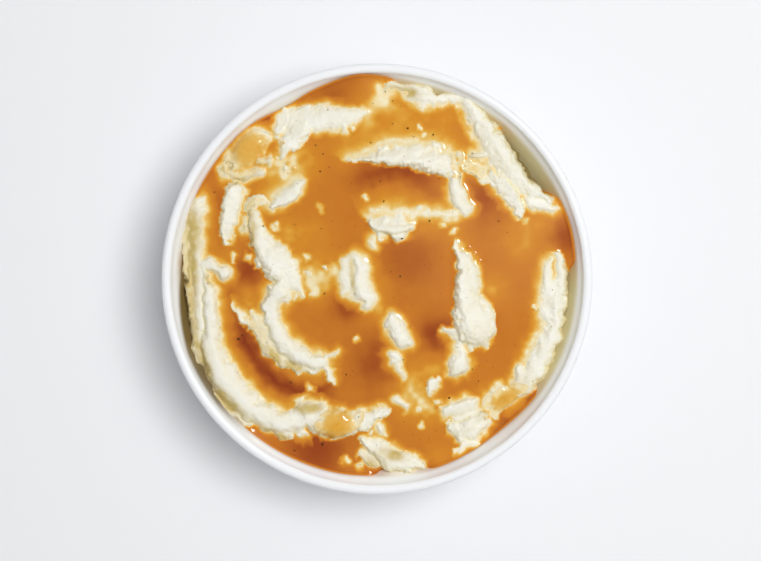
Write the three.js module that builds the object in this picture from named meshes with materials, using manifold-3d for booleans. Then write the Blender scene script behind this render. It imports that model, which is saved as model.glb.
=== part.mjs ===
// A side of mashed potato: a white coupe bowl, mash swirled by a spoon into ridges, and brown
// gravy lying in the furrows between them. Millimetres, +Z up, origin under the foot's centre.
import * as THREE from 'three'
import { mergeVertices } from 'three/addons/utils/BufferGeometryUtils.js'
import Module from 'manifold-3d'

// ---- driving dimensions ---------------------------------------------------------------------
const RIM_D = 140            // outer diameter over the rim
const BOWL_H = 48            // rim height
const WALL = 4               // thickness of the glazed wall
const LIP_R = WALL / 2       // the rim is rounded over to this radius
const FOOT_R = 37            // outer radius of the foot ring
const FOOT_W = 4             // its width
const FOOT_H = 3             // height of the hollow inside the ring
const FLOOR_Z = 7            // inside floor
const FLOOR_R = 26           // the flat part of the inside floor
const GAP = 0.3              // clearance between pieces that touch

const GRAVY_WALL = 43        // gravy level at the wall
const GRAVY_DOME = 5.5       // it stands this much higher at the middle
const GRAVY_TILT = 2.8       // at the back of the wall it is this much higher, in front lower
const TROUGH = 3.6           // ordinary depth of a furrow under the gravy
const CREVICE = 11           // how far the mash falls away from a dry stretch of wall
const RISE = 1.15            // crest height of a ridge, times its half-width to the power 0.75
const BLEND = 0.7            // how softly one ridge runs into the next

const SEGMENTS = 72          // round the bowl
const MASH_RINGS = 24        // rings of facets over the mash
const GRAVY_RINGS = 12       // and over the gravy, which is smooth
const LEAST_POOL = 40        // mm3: smaller drops of gravy are left out

// ---- bowl -----------------------------------------------------------------------------------
// the inside wall is one curve from the flat floor to the lip; the outside runs WALL outside it
const RIM_R = RIM_D / 2
const LIP_Z = BOWL_H - LIP_R
const inside = new THREE.CubicBezierCurve(
  new THREE.Vector2(FLOOR_R, FLOOR_Z), new THREE.Vector2(48, FLOOR_Z),
  new THREE.Vector2(60, 22), new THREE.Vector2(RIM_R - WALL, LIP_Z))
const insidePoints = inside.getPoints(9)

function outsidePoint(t) {
  const p = inside.getPoint(t), d = inside.getTangent(t)
  return new THREE.Vector2(p.x + d.y * WALL, p.y - d.x * WALL)
}

function bowlProfile() {
  const profile = [new THREE.Vector2(0, FLOOR_Z), ...insidePoints]
  for (let i = 1; i <= 4; i++) {                       // over the lip
    const a = Math.PI * (1 - i / 4)
    profile.push(new THREE.Vector2(RIM_R - LIP_R + LIP_R * Math.cos(a), LIP_Z + LIP_R * Math.sin(a)))
  }
  for (let i = 6; i >= 3; i--) profile.push(outsidePoint(i / 7))
  profile.push(
    new THREE.Vector2(FOOT_R, 1), new THREE.Vector2(FOOT_R - 1, 0),
    new THREE.Vector2(FOOT_R - FOOT_W + 1, 0), new THREE.Vector2(FOOT_R - FOOT_W - 0.6, FOOT_H),
    new THREE.Vector2(0, FOOT_H))
  return profile.reverse()                             // from the underside up, so it faces out
}

// radius of the cavity at a height, on the same facets as the wall
function cavityRadius(z) {
  const p = insidePoints
  let i = 0
  while (i < p.length - 2 && z > p[i + 1].y) i++
  return p[i].x + (p[i + 1].x - p[i].x) * (z - p[i].y) / (p[i + 1].y - p[i].y)
}

// ---- the spoon's marks ----------------------------------------------------------------------
// A ridge: how fast its left and right sides fall (mm for each mm, seen walking along it), a
// factor on its height, and the line of its crest as [x, y, half-width].
const TORN = 3.2, BROKEN = 1.5, SMOOTHED = 0.42
const ridge = (name, left, right, rise, ...line) => ({ name, left, right, rise, line })
const RIDGES = [
  // back left: a plateau, a dome coated with gravy, a long strip
  ridge('plateau', TORN, SMOOTHED, 1, [-28.5, 50.5, 3.6], [-23, 52, 5], [-16, 53, 4.4], [-9.5, 53, 2.2]),
  ridge('plateau heel', TORN, SMOOTHED, 1, [-26.5, 48.7, 3], [-28.6, 45.4, 2.2], [-31.2, 41.5, 1.2]),
  ridge('dome', BROKEN, BROKEN, 0.75, [-45.5, 37.5, 3.2], [-43.2, 42, 4.6], [-40.2, 45.2, 4], [-37, 47, 2.2]),
  ridge('strip', TORN, BROKEN, 1, [-48, 10.5, 0.6], [-49.3, 15.5, 2.1], [-47.2, 25, 2.9], [-46.2, 28.5, 3]),
  // the arm that spirals into the middle, and the ledge below it
  ridge('arm', TORN, BROKEN, 1.1, [-17.2, -26.8, 2.4], [-22, -26.4, 3.4], [-27.5, -23.8, 3.5],
    [-31.5, -18.6, 3.2], [-33.8, -12.5, 2.7], [-33.6, -7.5, 2.8], [-31.4, -4, 4.2], [-30.2, 0.5, 4],
    [-31.8, 5.2, 5.2], [-35.6, 9.8, 3.8], [-38.2, 14, 3.2], [-39.6, 18.5, 2.6], [-40.3, 24.5, 2.4]),
  ridge('ledge', TORN, BROKEN, 0.55, [-22.5, -30.2, 1], [-32, -28, 1.9], [-36.4, -23.2, 1.8],
    [-43.2, -13.4, 1.4], [-47.2, -8.6, 0.8]),
  ridge('cross fold', SMOOTHED, SMOOTHED, 1, [-33.6, 24.8, 1.8], [-30.2, 27.4, 2.5], [-26.6, 30.8, 1.4]),
  // the ring against the left wall, from its hook round to the front
  ridge('hook', BROKEN, BROKEN, 1.1, [-49.8, 1.6, 1.7], [-52.2, 3.2, 2.5], [-55.4, 4.8, 1.8]),
  ridge('ring', BROKEN, TORN, 1.1, [-56.6, 4.4, 1.6], [-56.8, 0, 1.6], [-55.6, -5, 2.6], [-55.4, -11, 3.2],
    [-55.4, -17, 3.8], [-55.2, -22.5, 4.4], [-52.6, -28.5, 4.5], [-48.2, -34, 4.4], [-42.6, -40, 4.6],
    [-36, -44.6, 4.6], [-29, -46.4, 4.2]),
  ridge('shelf', BROKEN, SMOOTHED, 0.7, [-60, 26, 1.4], [-60, 13, 2.6], [-60.3, 6, 2.4], [-60.8, -2, 1.8],
    [-59, -14, 1.4]),
  ridge('bench', BROKEN, TORN, 0.75, [-26.5, -41.5, 3.2], [-22.5, -44.5, 5.2], [-16, -46.2, 4.9],
    [-9, -46.4, 3.6], [-3, -45, 2.6], [2.2, -43, 1.8]),
  ridge('front lump', BROKEN, TORN, 1, [-3.8, -53, 2], [0.4, -55.2, 3.2], [5, -57.8, 3.2], [10, -58.8, 2.4],
    [15.8, -59.9, 0.8]),
  // front right: three lumps
  ridge('back lump', BROKEN, BROKEN, 1, [23.6, -44.6, 1.4], [27, -42, 2.6], [30.4, -40.2, 1.9]),
  ridge('right lump', TORN, BROKEN, 1, [30.2, -51, 2.2], [33.6, -47.6, 3.6], [34.2, -44.2, 2.2]),
  ridge('left lump', TORN, BROKEN, 0.9, [25.6, -48.4, 2.2], [29.5, -50, 2.8]),
  // the band against the right wall, two ridges side by side
  ridge('right band', SMOOTHED, BROKEN, 1, [47.6, -36.4, 2], [47.6, -33, 3.4], [49.2, -27, 3.7],
    [51.8, -21, 3.2], [54, -14.5, 3.1], [55.6, -8, 3.1], [55.4, -2, 2.3], [54.8, 3.6, 1.3]),
  ridge('right edge', BROKEN, TORN, 0.95, [50.4, -33.6, 1.4], [53.2, -28, 2.2], [55.7, -22, 2.5],
    [57.9, -15, 2.6], [59.2, -8, 2.7], [59.4, -2, 2.2], [58.6, 7.4, 1.6]),
  // the ring against the back wall
  ridge('back lobe', TORN, BROKEN, 0.9, [2.4, 62.7, 1], [6, 62.5, 1.2], [10.5, 61.4, 1.8], [14, 59.4, 2.8],
    [17.4, 58.2, 2.2]),
  ridge('back ring', TORN, SMOOTHED, 1.1, [19, 58.4, 1.6], [23.6, 59, 0.9], [27.6, 57.8, 1.4],
    [30.9, 54.4, 2.4], [33.2, 49.6, 3.2], [36.1, 44.4, 3.5], [38.9, 39.6, 3.6], [41.7, 35.4, 3.3],
    [45, 31.2, 2.9], [49.4, 27.6, 2.2], [54.2, 25, 1.6]),
  ridge('back tongue', SMOOTHED, BROKEN, 0.95, [37.4, 34.6, 1.6], [40.6, 31.4, 2.2], [43.2, 28, 2.4],
    [46.6, 22.4, 1]),
  // the middle
  ridge('brow', SMOOTHED, TORN, 1, [-7.5, 38.2, 0.5], [-3, 39, 1.9], [2, 39.8, 3], [8, 40.3, 4.6],
    [14, 40.1, 5], [19.5, 38.2, 3.9], [24.2, 35.8, 2.7], [26.4, 31.6, 1.6], [26.3, 27.8, 2.8],
    [28.4, 24, 2.6], [29.8, 22.4, 1.2]),
  ridge('heart', SMOOTHED, TORN, 0.9, [-1.8, 18.3, 1.6], [2, 17.6, 3.6], [6.4, 17, 4], [10.2, 16.8, 1.8]),
  ridge('post', BROKEN, BROKEN, 1, [-5.2, 6, 2], [-4.4, 2, 3], [-4.4, -3, 3.4], [-4, -7.4, 2.5]),
  ridge('post foot', BROKEN, BROKEN, 0.8, [-10.8, 4.4, 1.8], [-11, -0.5, 2], [-10.2, -4.2, 1.5]),
  ridge('tooth', TORN, BROKEN, 1.05, [4.4, -12.6, 1.7], [6.6, -16, 2.9], [8.4, -19.6, 3.2]),
  ridge('island', TORN, BROKEN, 1.1, [32.6, -18, 3.2], [32, -15.2, 6.4], [30.4, -11, 5.8], [29.4, -6, 4.5],
    [29.3, -1, 4], [29, 4, 3.4], [27, 9, 1.6], [25.4, 11.4, 0.5]),
  ridge('island foot', TORN, BROKEN, 0.9, [22.8, -16.6, 1.2], [27.5, -17.6, 2.2], [33.5, -19.2, 2.4]),
  ridge('pebble', TORN, BROKEN, 0.9, [27, -24.2, 2.4], [26.4, -27.4, 3.4], [25.2, -29.6, 2.2])
]

// where a furrow is deeper than usual, or, when minus, where the mash comes up under the gravy
const hollow = (x, y, radius, depth) => ({ x, y, radius, depth })
const HOLLOWS = [
  hollow(-42, -24, 8, 3.2), hollow(-34, -30, 7, 3), hollow(-24, -33, 6, 2), hollow(8, 33, 9, 2.8),
  hollow(34, 27, 7, 2.2), hollow(20, -18, 6, 2.6), hollow(1, -27, 9, 1.8), hollow(10, 6, 10, 1.4),
  hollow(-42, 3, 5, 2.2), hollow(-14, 61, 8, 1.8), hollow(-36, 52, 5, 2.2), hollow(62, 14, 7, 2.6),
  hollow(-20, -55, 10, 2.4), hollow(45, -44, 8, 1.8), hollow(8, 50, 13, -1.7), hollow(-26, 38, 8, -2),
  hollow(-8, 44, 8, -1.4), hollow(-22, 1, 6, -3.2), hollow(-14, 2, 5, -2.9), hollow(47, 12, 7, -1.5),
  hollow(-32, 36, 6, -2.9), hollow(41, -37, 6, -3.2), hollow(31, 35, 5, -3.1), hollow(12, -32, 8, -1.7),
  hollow(13, -38, 6, -1.6), hollow(16, -45, 6, -1.2), hollow(2, 60.5, 5, -3.3)
]

// stretches of wall that stay dry, in degrees, and the radius where the mash falls away from them
const DRY = [
  { from: 26, to: 84, radius: 60 }, { from: 150, to: 228, radius: 61 },
  { from: 271, to: 284, radius: 62 }, { from: -38, to: 5, radius: 61.5 }
]

// ---- height of the mash and of the gravy ----------------------------------------------------
const { clamp, degToRad, euclideanModulo, smoothstep } = THREE.MathUtils

function gravyLevel(x, y) {
  const out = Math.hypot(x, y) / (RIM_R - WALL)
  return GRAVY_WALL + GRAVY_DOME * (1 - out * out) + GRAVY_TILT * y / (RIM_R - WALL)
}

function dryness(x, y) {
  const angle = THREE.MathUtils.radToDeg(Math.atan2(y, x)), r = Math.hypot(x, y)
  return Math.max(...DRY.map(({ from, to, radius }) => {
    const off = Math.abs(euclideanModulo(angle - (from + to) / 2 + 180, 360) - 180)
    const half = (to - from) / 2
    return (1 - smoothstep(off, half - 2.5, half + 2.5)) * smoothstep(r, radius - 1.2, radius + 1.6)
  }))
}

// a line through the ridge's points, cut into short straight steps
function trace(line) {
  const curve = new THREE.CatmullRomCurve3(line.map((p) => new THREE.Vector3(...p)), false, 'centripetal')
  return curve.getSpacedPoints(Math.max(2, Math.round(curve.getLength() / 2)))
}
RIDGES.forEach((r) => { r.steps = trace(r.line) })

// height of one ridge over the gravy level at (x, y)
function ridgeHeight({ left, right, rise, steps }, x, y, dry) {
  let best = Infinity, width = 1, side = 0
  for (let i = 0; i < steps.length - 1; i++) {
    const a = steps[i], b = steps[i + 1], dx = b.x - a.x, dy = b.y - a.y, length = Math.hypot(dx, dy)
    const t = clamp(((x - a.x) * dx + (y - a.y) * dy) / (length * length), 0, 1)
    const px = x - a.x - t * dx, py = y - a.y - t * dy, w = a.z + (b.z - a.z) * t
    const d = Math.hypot(px, py)
    if (d - w < best) {
      best = d - w
      width = w
      side = (dx * py - dy * px) / (length * Math.max(d, 1e-6))
    }
  }
  const onLeft = 0.5 + 0.5 * clamp(1.5 * side, -1, 1)
  const fall = THREE.MathUtils.lerp(left * onLeft + right * (1 - onLeft), 3, dry)
  width = Math.max(width, 0.3)
  if (best > 0) return -best * fall
  const sharp = 1.5 + 2 * clamp((fall - SMOOTHED) / (TORN - SMOOTHED), 0, 1)
  return rise * RISE * width ** 0.75 * (1 - ((best + width) / width) ** sharp)
}

function softMax(a, b) {
  const h = clamp(0.5 + 0.5 * (a - b) / BLEND, 0, 1)
  return b * (1 - h) + a * h + BLEND * h * (1 - h)
}

function mashHeight(x0, y0) {
  const x = x0 + 0.45 * Math.sin(0.55 * x0 + 0.83 * y0 + 0.4) * Math.sin(0.71 * x0 - 0.38 * y0 + 2)
  const y = y0 + 0.45 * Math.sin(0.61 * y0 - 0.75 * x0 + 1.1) * Math.sin(0.35 * x0 + 0.67 * y0 + 0.3)
  const dry = dryness(x, y)
  let h = -TROUGH - CREVICE * dry
  for (const p of HOLLOWS) h -= p.depth * Math.exp(-1.2 * ((x - p.x) ** 2 + (y - p.y) ** 2) / p.radius ** 2)
  for (const r of RIDGES) h = softMax(h, ridgeHeight(r, x, y, dry))
  return gravyLevel(x0, y0) + h
}

const gravyHeight = (x, y) => gravyLevel(x, y) - 16 * dryness(x, y)

// how far straight up the clearance over the mash reaches: more where the mash is steep
function clearance(x, y) {
  const e = 0.8
  const sx = (mashHeight(x + e, y) - mashHeight(x - e, y)) / (2 * e)
  const sy = (mashHeight(x, y + e) - mashHeight(x, y - e)) / (2 * e)
  return GAP * Math.min(Math.hypot(1, sx, sy), 3)
}

// ---- a filling of the bowl up to a height ----------------------------------------------------
// Rings of 6, 12, 18 ... points cover the top; the last ring meets the wall. From there levels
// run down the wall to the floor. With a margin it is a tool to cut with: its top is lifted by
// the clearance, and its sides go straight down outside the wall.
function filling(height, rings, levels, margin = 0) {
  const lift = (x, y) => margin ? clearance(x, y) : 0
  const positions = [], index = []
  const add = (r, a, z) => positions.push(r * Math.cos(a), r * Math.sin(a), z) / 3 - 1
  const around = 6 * rings, base = FLOOR_Z + GAP
  const wall = Array.from({ length: around }, (_, j) => {
    const a = 2 * Math.PI * j / around
    const z = height(63.5 * Math.cos(a), 63.5 * Math.sin(a))
    return { a, z, r: cavityRadius(z) - GAP }
  })
  const ringStart = [add(0, 0, height(0, 0) + lift(0, 0))]
  for (let i = 1; i <= rings; i++) {
    for (let j = 0; j < 6 * i; j++) {
      const a = 2 * Math.PI * j / (6 * i)
      const f = j * rings / i, k = Math.floor(f)
      const edge = THREE.MathUtils.lerp(wall[k % around].r, wall[(k + 1) % around].r, f - k)
      const r = edge * i / rings, x = r * Math.cos(a), y = r * Math.sin(a)
      const v = add(r, a, (i === rings ? wall[j].z : height(x, y)) + lift(x, y))
      if (j === 0) ringStart[i] = v
    }
  }
  const at = (i, j) => i === 0 ? 0 : ringStart[i] + j % (6 * i)
  for (let i = 1; i <= rings; i++) {
    for (let s = 0; s < 6; s++) {
      for (let k = 0; k < i; k++) {
        const outer = s * i + k, inner = s * (i - 1) + k
        index.push(at(i, outer), at(i, outer + 1), at(i - 1, inner))
        if (k < i - 1) index.push(at(i - 1, inner), at(i, outer + 1), at(i - 1, inner + 1))
      }
    }
  }
  // down the side
  let upper = ringStart[rings]
  const down = margin ? [1, 0] : Array.from({ length: levels }, (_, l) => 1 - (l + 1) / levels)
  for (const f of down) {
    const lower = positions.length / 3
    for (const w of wall) {
      const z = base + (w.z - base) * f
      if (margin) add(w.r + margin, w.a, f ? w.z + lift(w.r * Math.cos(w.a), w.r * Math.sin(w.a)) : z - margin)
      else add(cavityRadius(z) - GAP, w.a, z)
    }
    for (let j = 0; j < around; j++) {
      const n = (j + 1) % around
      index.push(upper + j, lower + j, upper + n, upper + n, lower + j, lower + n)
    }
    upper = lower
  }
  const middle = add(0, 0, margin ? base - margin : base)
  for (let j = 0; j < around; j++) index.push(upper + j, middle, upper + (j + 1) % around)
  const geometry = new THREE.BufferGeometry()
  geometry.setAttribute('position', new THREE.Float32BufferAttribute(positions, 3))
  geometry.setIndex(index)
  return geometry
}

// ---- joining and cutting --------------------------------------------------------------------
const wasm = await Module()
wasm.setup()

function toSolid(geometry) {
  const g = geometry.clone()
  g.deleteAttribute('normal')
  g.deleteAttribute('uv')
  const merged = mergeVertices(g, 1e-5)
  return new wasm.Manifold(new wasm.Mesh({
    numProp: 3,
    vertProperties: new Float32Array(merged.attributes.position.array),
    triVerts: new Uint32Array(merged.index.array)
  }))
}

function toGeometry(solid) {
  const mesh = solid.getMesh()
  const g = new THREE.BufferGeometry()
  g.setAttribute('position', new THREE.Float32BufferAttribute(mesh.vertProperties, 3))
  g.setIndex(Array.from(mesh.triVerts))
  g.computeVertexNormals()
  return g
}

// ---- the three things in the bowl shot: bowl, mash, gravy ------------------------------------
const glaze = new THREE.MeshStandardMaterial({ color: 0xf3f2f0, roughness: 0.22, metalness: 0 })
const potato = new THREE.MeshStandardMaterial({ color: 0xf0ead6, roughness: 0.6, metalness: 0 })
const sauce = new THREE.MeshStandardMaterial({ color: 0xc9772b, roughness: 0.25, metalness: 0 })

const group = new THREE.Group()
function add(name, geometry, material) {
  const mesh = new THREE.Mesh(geometry, material)
  mesh.name = name
  group.add(mesh)
}

const lathe = new THREE.LatheGeometry(bowlProfile(), SEGMENTS)
lathe.rotateX(Math.PI / 2)
add('bowl', toGeometry(toSolid(lathe)), glaze)

add('mash', filling(mashHeight, MASH_RINGS, 4), potato)

// gravy: everything under its surface, less the mash below it; each pool is a piece of its own
const pools = toSolid(filling(gravyHeight, GRAVY_RINGS, 4))
  .subtract(toSolid(filling(mashHeight, MASH_RINGS, 1, 1.2)))
  .decompose()
  .filter((pool) => pool.volume() > LEAST_POOL)
  .sort((a, b) => b.volume() - a.volume())
const poolNames = ['gravy', 'gravy_front']            // largest first
pools.forEach((pool, i) => add(poolNames[i] ?? `gravy_${i + 1}`, toGeometry(pool), sauce))

export default group
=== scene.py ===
# %% [markdown]
# # A side of mashed potato with gravy
# A white coupe bowl holds a heap of mash that a spoon has swirled into ridges. Brown gravy lies in
# the furrows and runs in thin films over the lower ridges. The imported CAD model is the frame: every
# piece made here takes the place of one of its solids, in metres, and keeps that solid's form.

# %% Load the frame
import math

import bpy
import numpy as np
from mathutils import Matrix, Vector


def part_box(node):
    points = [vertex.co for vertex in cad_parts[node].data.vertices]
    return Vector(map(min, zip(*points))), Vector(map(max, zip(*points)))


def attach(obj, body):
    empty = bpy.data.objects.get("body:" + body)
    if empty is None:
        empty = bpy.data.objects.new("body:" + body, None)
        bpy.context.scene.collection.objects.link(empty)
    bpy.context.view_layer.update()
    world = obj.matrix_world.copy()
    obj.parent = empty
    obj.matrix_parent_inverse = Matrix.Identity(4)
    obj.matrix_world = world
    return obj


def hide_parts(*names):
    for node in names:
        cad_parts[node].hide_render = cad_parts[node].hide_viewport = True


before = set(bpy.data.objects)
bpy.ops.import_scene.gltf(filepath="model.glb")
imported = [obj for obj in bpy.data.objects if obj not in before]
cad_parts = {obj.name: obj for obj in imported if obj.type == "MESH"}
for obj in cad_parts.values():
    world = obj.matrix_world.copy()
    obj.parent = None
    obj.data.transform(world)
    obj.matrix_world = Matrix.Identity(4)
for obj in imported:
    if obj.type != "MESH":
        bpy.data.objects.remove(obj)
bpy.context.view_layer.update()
bpy.ops.object.select_all(action="DESELECT")

# %% [markdown]
# ## Sizes
# The bowl's rim and height are read from the frame. Everything about the food is worked out in
# millimetres, because its sizes are easier to read that way, and turned into metres at the end.

# %% Driving sizes
MM = 0.001
bowl_low, bowl_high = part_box("bowl")
RIM_R = (bowl_high[0] - bowl_low[0]) / 2 / MM   # outer radius of the rim
BOWL_H = bowl_high[2] / MM                      # height of the rim
WALL, LIP_W = 4.0, 3.2                          # thickness of the wall low down, and at the lip
LIP_R = LIP_W / 2
LIP_Z = BOWL_H - LIP_R
WALL_R = RIM_R - LIP_W                          # inner radius at the lip
FOOT_R, FOOT_W, FOOT_H = 37.0, 4.0, 3.0         # foot ring: outer radius, width, hollow inside it
FLOOR_Z, FLOOR_R = 7.0, 26.0                    # flat floor inside
print(f"bowl {2 * RIM_R:.1f} mm across, {BOWL_H:.1f} mm high")

# %% [markdown]
# ## Helpers for meshes
# The heap has a quarter of a million points, so they are read into numpy, where one sum moves them
# all, and written back. `store` keeps one number for each point, which a material can read.

# %% Mesh helpers
def read(items, what, width=3, kind=float):
    """One row of numbers for each item of a mesh."""
    values = np.empty(len(items) * width, dtype=kind)
    items.foreach_get(what, values)
    return values.reshape(-1, width)


def points_of(piece):
    return read(piece.data.vertices, "co")


def normals_of(piece):
    return read(piece.data.vertex_normals, "vector")


def place_points(piece, co):
    piece.data.vertices.foreach_set("co", np.ascontiguousarray(co, dtype=float).ravel())
    piece.data.update()


def store(piece, name, values):
    layer = piece.data.attributes.new(name, "FLOAT", "POINT")
    layer.data.foreach_set("value", np.ascontiguousarray(values, dtype=np.float32))


def only(piece):
    """Selects this piece alone, because an operator acts on all that is selected."""
    bpy.ops.object.select_all(action="DESELECT")
    piece.select_set(True)
    bpy.context.view_layer.objects.active = piece


def turn_outwards():
    """In edit mode: turns every face outwards and goes back to object mode."""
    bpy.ops.mesh.select_all(action="SELECT")
    bpy.ops.mesh.normals_make_consistent(inside=False)
    bpy.ops.object.mode_set(mode="OBJECT")


def triangles(piece):
    return sum(len(p.vertices) - 2 for p in piece.data.polygons)

# %% [markdown]
# ## Helpers for finishes
# `Wire` wraps a socket, so that `1 - mask` adds a Math node. `Finish` is one material: `node` adds
# any node, its settings first and then its inputs, and the short methods are the nodes used often.

# %% Sums on sockets
def srgb(r, g, b):
    """A colour as paint programs have it, 0 to 255, made linear for shaders."""
    return tuple(c / 12.92 if c <= 0.04045 else ((c + 0.055) / 1.055) ** 2.4
                 for c in (r / 255, g / 255, b / 255)) + (1.0,)


class Wire:
    def __init__(self, finish, socket):
        self.finish, self.socket = finish, socket


def sign(operation, swapped):
    def method(self, other):
        pair = (other, self) if swapped else (self, other)
        return self.finish.node("Math", {"operation": operation}, *pair)
    return method


# where Python reads a + b it calls a's __add__, or else b's __radd__ with the sides swapped
signs = {"add": "ADD", "sub": "SUBTRACT", "mul": "MULTIPLY", "truediv": "DIVIDE", "pow": "POWER"}
for name, operation in signs.items():
    setattr(Wire, f"__{name}__", sign(operation, swapped=False))
    setattr(Wire, f"__r{name}__", sign(operation, swapped=True))
print("signs for sockets:", list(signs))

# %% One material
BLACK = (0, 0, 0, 1)


class Finish:
    def __init__(self, name):
        self.material = bpy.data.materials.new(name)
        self.material.use_nodes = True
        self.tree = self.material.node_tree
        self.shader = self.tree.nodes["Principled BSDF"]

    def node(self, kind, settings=None, *inputs, out=0, **named):
        made = self.tree.nodes.new("ShaderNode" + kind)
        for key, value in (settings or {}).items():
            setattr(made, key, value)
        for key, value in list(enumerate(inputs)) + list(named.items()):
            self.plug(made.inputs[key.replace("_", " ") if isinstance(key, str) else key], value)
        return Wire(self, made.outputs[out])

    def plug(self, socket, value):
        if isinstance(value, Wire):
            self.tree.links.new(value.socket, socket)
        else:
            socket.default_value = value

    def set(self, **values):
        for key, value in values.items():
            self.plug(self.shader.inputs[key.replace("_", " ")], value)

    def mix(self, factor, a, b):
        made = self.node("Mix", {"data_type": "RGBA"}, factor, out=2)
        self.plug(made.socket.node.inputs[6], a)               # the sockets for two colours
        self.plug(made.socket.node.inputs[7], b)
        return made

    def place(self):
        return self.node("TexCoord", out=3)                    # Object coordinates

    def stored(self, name):
        return self.node("Attribute", {"attribute_name": name}, out=2)

    def fade(self, value, start, end, low=0.0, high=1.0, kind="SMOOTHSTEP"):
        """low where the value is at start, high where it is at end, and never past them."""
        return self.node("MapRange", {"clamp": True, "interpolation_type": kind},
                         value, start, end, low, high)

    def noise(self, size_mm, detail=2.0, roughness=0.5):
        """Cloudy noise with blobs about size_mm across, from 0 to 1."""
        return self.node("TexNoise", None, self.place(), Scale=1 / (size_mm * MM), Detail=detail,
                         Roughness=roughness)

    def ramp(self, value, *stops):
        made = self.node("ValToRGB", None, value)
        ends = made.socket.node.color_ramp.elements
        while len(ends) < len(stops):
            ends.new(0.5)
        for end, (place, colour) in zip(ends, stops):
            end.position, end.color = place, colour
        return made

    def bump(self, height, depth_mm):
        self.set(Normal=self.node("Bump", None, Height=height, Distance=depth_mm * MM))


def dress(piece, finish):
    piece.data.materials.clear()
    piece.data.materials.append(finish.material)
    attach(piece, "root")
    print(f"{piece.name} wears {finish.material.name}, {len(finish.tree.nodes)} nodes")

# %% [markdown]
# ## The bowl
# A coupe bowl has no angle between its floor and its wall, and its lip is rounded over. On a
# potter's wheel it is one outline turned once round, and Blender's Spin does the same. A sphere cut
# open would be quicker, but it has neither the foot ring nor the flare. The outline is drawn here
# as by hand: one point, extruded again and again.

# %% The wall's curve
BELLY_R = 48.0                  # the handle that bends the wall's curve up from the floor
INNER_PULL = (58.0, 34.0)       # the handle under the lip, for the inside: radius, height
OUTER_PULL = (60.0, 22.0)       # and for the outside, which is fuller


def bezier(t, *p):
    s = 1 - t
    return s ** 3 * p[0] + 3 * s * s * t * p[1] + 3 * s * t * t * p[2] + t ** 3 * p[3]


def wall_point(t, pull=INNER_PULL):
    """Radius and height of the inside, t going from 0 at the floor to 1 at the lip."""
    return bezier(t, FLOOR_R, BELLY_R, pull[0], WALL_R), bezier(t, FLOOR_Z, FLOOR_Z, pull[1], LIP_Z)


def outside_point(t):
    """The outside of the wall, a fuller curve moved out by the wall's thickness."""
    (r0, z0), (r1, z1) = wall_point(t - 1e-4, OUTER_PULL), wall_point(t + 1e-4, OUTER_PULL)
    length = math.hypot(r1 - r0, z1 - z0)
    r, z = wall_point(t, OUTER_PULL)
    thick = WALL + (LIP_W - WALL) * t * t
    return r + (z1 - z0) / length * thick, z - (r1 - r0) / length * thick


wall_r, wall_z = np.array([wall_point(t) for t in np.linspace(0, 1, 80)]).T


def cavity_radius(z):
    return np.interp(z, wall_z, wall_r)


def wall_height(r):
    return np.interp(r, wall_r, wall_z)


print(f"radius inside at a height of 30 mm: {cavity_radius(30.0):.1f} mm")

# %% The bowl's outline, from the underside up and over the lip
FOOT_IN = FOOT_R - FOOT_W
LIP_STEPS = 12
inner_turn = [(-1.6, FOOT_H), (-0.6, FOOT_H - 0.5), (0.2, 0.5), (0.7, 0.1), (1.2, 0)]    # out from FOOT_IN
outer_turn = [(-1.2, 0), (-0.6, 0.1), (-0.1, 0.6), (0.4, 2.0)]                           # out from FOOT_R
outline = [(0, FOOT_H)] + [(FOOT_IN + out, z) for out, z in inner_turn]
outline += [(FOOT_R + out, z) for out, z in outer_turn]
outline += [outside_point(t) for t in np.linspace(0.24, 0.97, 18)]
for step in range(LIP_STEPS + 1):
    a = math.pi * step / LIP_STEPS
    outline.append((RIM_R - LIP_R + LIP_R * math.cos(a), LIP_Z + LIP_R * math.sin(a)))
outline += [wall_point(t) for t in np.linspace(0.96, 0, 26)] + [(12, FLOOR_Z), (0, FLOOR_Z)]
print("outline points:", len(outline))

# %% Turn the outline round
SPIN_STEPS = 144
bpy.ops.mesh.primitive_plane_add(size=MM, location=(0, 0, 0))
bowl = bpy.context.object
bowl.name = "glazed_bowl"
bpy.ops.object.mode_set(mode="EDIT")
bpy.ops.mesh.select_all(action="SELECT")
bpy.ops.mesh.merge(type="CENTER")
bpy.ops.transform.translate(value=(outline[0][0] * MM, 0, outline[0][1] * MM))
for (r0, z0), (r1, z1) in zip(outline, outline[1:]):
    bpy.ops.mesh.extrude_region_move(
        TRANSFORM_OT_translate={"value": ((r1 - r0) * MM, 0, (z1 - z0) * MM)})
bpy.ops.mesh.select_all(action="SELECT")
bpy.ops.mesh.spin(steps=SPIN_STEPS, angle=2 * math.pi, center=(0, 0, 0), axis=(0, 0, 1))
bpy.ops.mesh.select_all(action="SELECT")
bpy.ops.mesh.remove_doubles(threshold=0.02 * MM)     # the seam and the points on the axis
turn_outwards()
bpy.ops.object.shade_smooth_by_angle(angle=math.radians(50))
print("bowl triangles:", triangles(bowl))

# %% [markdown]
# The glaze is white and glossy, a little uneven where it pooled. The foot ring's edge is wiped bare
# before firing, so the rougher clay shows. Inside, the colours are partly food and partly painted
# light. Where mash slid down the wall is yellowish, and that tint also paints the shade and the mash's
# warm bounce light on the wall at the right. A brown line of gravy lies over the gravy's edge,
# darkened with painted shade. The dark gap on the left is painted shade, and the wall at the front
# left has a painted glow. A painted texture could show them, but they only follow height and side,
# so masks on the object's own coordinates are enough. The outside has the same heights, so the mesh
# stores which points are on the inside.

# %% Which points are on the inside
co = points_of(bowl) / MM
on_inside = (np.hypot(co[:, 0], co[:, 1]) < cavity_radius(co[:, 2]) + 0.5) & (co[:, 2] > FLOOR_Z - 0.5)
store(bowl, "inside", on_inside)
print("points on the inside:", on_inside.sum())

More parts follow.
